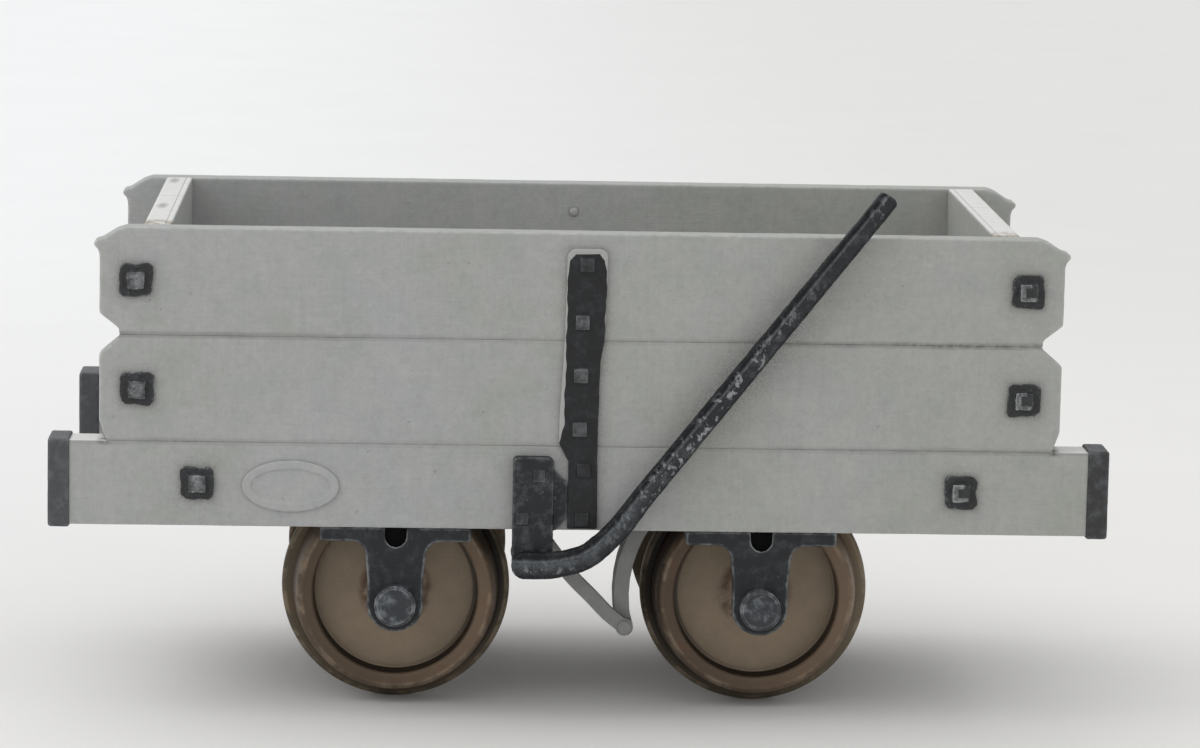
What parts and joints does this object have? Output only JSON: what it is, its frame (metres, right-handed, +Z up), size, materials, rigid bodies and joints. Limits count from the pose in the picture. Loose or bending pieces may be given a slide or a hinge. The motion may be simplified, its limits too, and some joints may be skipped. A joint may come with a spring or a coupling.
{
  "type": "mine cart",
  "caption": "Narrow-gauge open mine wagon: two-plank timber body on iron-capped solebars, flanged disc wheels, side hand-lever brake with shoe, and hook-and-link draw gear.",
  "frame": {"origin": "on the floor plane under the wheel flanges, midway between the four wheels", "axes": "+X along the track towards the end the brake lever leans to, +Y across the wagon away from the lever, +Z up"},
  "size_m": [2.314, 1.1725, 1.1824],
  "materials": {
    "painted_timber": "matt pale grey paint over planed timber",
    "painted_plate": "matt pale grey paint over cast iron",
    "black_iron": "satin black paint worn grey along the edges",
    "grey_iron": "matt mid-grey paint over iron",
    "wheel_iron": "brown cast iron, rubbed bright on the rim and dark in the corners",
    "axle_steel": "dark oiled forged iron"
  },
  "bodies": {
    "body": {"bearing_bush_far_left": "black_iron", "bearing_bush_far_right": "black_iron", "bearing_bush_near_left": "black_iron", "bearing_bush_near_right": "black_iron", "brake_bracket_far": "black_iron", "brake_bracket_near": "black_iron", "buffer_cap_far_left": "black_iron", "buffer_cap_far_right": "black_iron", "buffer_cap_near_left": "black_iron", "buffer_cap_near_right": "black_iron", "corner_iron_far_left": "black_iron", "corner_iron_far_right": "black_iron", "corner_iron_near_left": "black_iron", "corner_iron_near_right": "black_iron", "cross_bearer_left": "painted_timber", "cross_bearer_right": "painted_timber", "draw_hook_left": "black_iron", "draw_hook_right": "black_iron", "end_lining_left": "painted_timber", "end_lining_right": "painted_timber", "end_plank_left_lower": "painted_timber", "end_plank_left_upper": "painted_timber", "end_plank_right_lower": "painted_timber", "end_plank_right_upper": "painted_timber", "floor_board_1": "painted_timber", "floor_board_2": "painted_timber", "floor_board_3": "painted_timber", "floor_board_4": "painted_timber", "headstock_left": "painted_timber", "headstock_right": "painted_timber", "oval_plate": "painted_plate", "pedestal_far_left": "black_iron", "pedestal_far_right": "black_iron", "pedestal_near_left": "black_iron", "pedestal_near_right": "black_iron", "shoe_hanger": "black_iron", "side_plank_far_lower": "painted_timber", "side_plank_far_upper": "painted_timber", "side_plank_near_lower": "painted_timber", "side_plank_near_upper": "painted_timber", "side_strap_far": "black_iron", "side_strap_near": "black_iron", "solebar_far": "painted_timber", "solebar_near": "painted_timber", "tie_rod_left": "black_iron", "tie_rod_right": "black_iron"},
    "wheelset_left": {"wheel_near_left": "wheel_iron", "wheel_far_left": "wheel_iron", "axle_left": "axle_steel"},
    "wheelset_right": {"wheel_near_right": "wheel_iron", "wheel_far_right": "wheel_iron", "axle_right": "axle_steel"},
    "brake_lever": {"brake_lever": "black_iron", "brake_shaft": "black_iron", "brake_crank": "black_iron"},
    "push_rod": {"push_rod": "grey_iron"},
    "brake_shoe": {"brake_shoe": "grey_iron"},
    "coupling_link_left": {"coupling_link_left": "black_iron"},
    "coupling_link_right": {"coupling_link_right": "black_iron"}
  },
  "joints": [
    {"name": "wheelset_left_spin", "type": "hinge", "parent": "body", "child": "wheelset_left", "pos_m": [-0.4, 0, 0.254], "axis": [0, 1, 0], "continuous": true},
    {"name": "wheelset_right_spin", "type": "hinge", "parent": "body", "child": "wheelset_right", "pos_m": [0.4, 0, 0.254], "axis": [0, 1, 0], "continuous": true},
    {"name": "brake_lever_swing", "type": "hinge", "parent": "body", "child": "brake_lever", "pos_m": [-0.119, 0, 0.356], "axis": [0, 1, 0], "range_deg": [0, 43]},
    {"name": "push_rod_swing", "type": "hinge", "parent": "brake_lever", "child": "push_rod", "pos_m": [-0.09556, 0, 0.41123], "axis": [0, 1, 0], "range_deg": [-50, 0]},
    {"name": "brake_shoe_swing", "type": "hinge", "parent": "body", "child": "brake_shoe", "pos_m": [0.178, 0, 0.455], "axis": [0, 1, 0], "range_deg": [-12, 0]},
    {"name": "coupling_link_left_swing", "type": "hinge", "parent": "body", "child": "coupling_link_left", "pos_m": [-1.03, 0, 0.4853], "axis": [0, 1, 0], "range_deg": [-20, 75]},
    {"name": "coupling_link_right_swing", "type": "hinge", "parent": "body", "child": "coupling_link_right", "pos_m": [1.03, 0, 0.4853], "axis": [0, 1, 0], "range_deg": [-75, 20]}
  ],
  "couplings": [
    {"joint": "push_rod_swing", "follows": "brake_lever_swing", "ratio": -1.1244},
    {"joint": "brake_shoe_swing", "follows": "brake_lever_swing", "ratio": -0.2574}
  ]
}
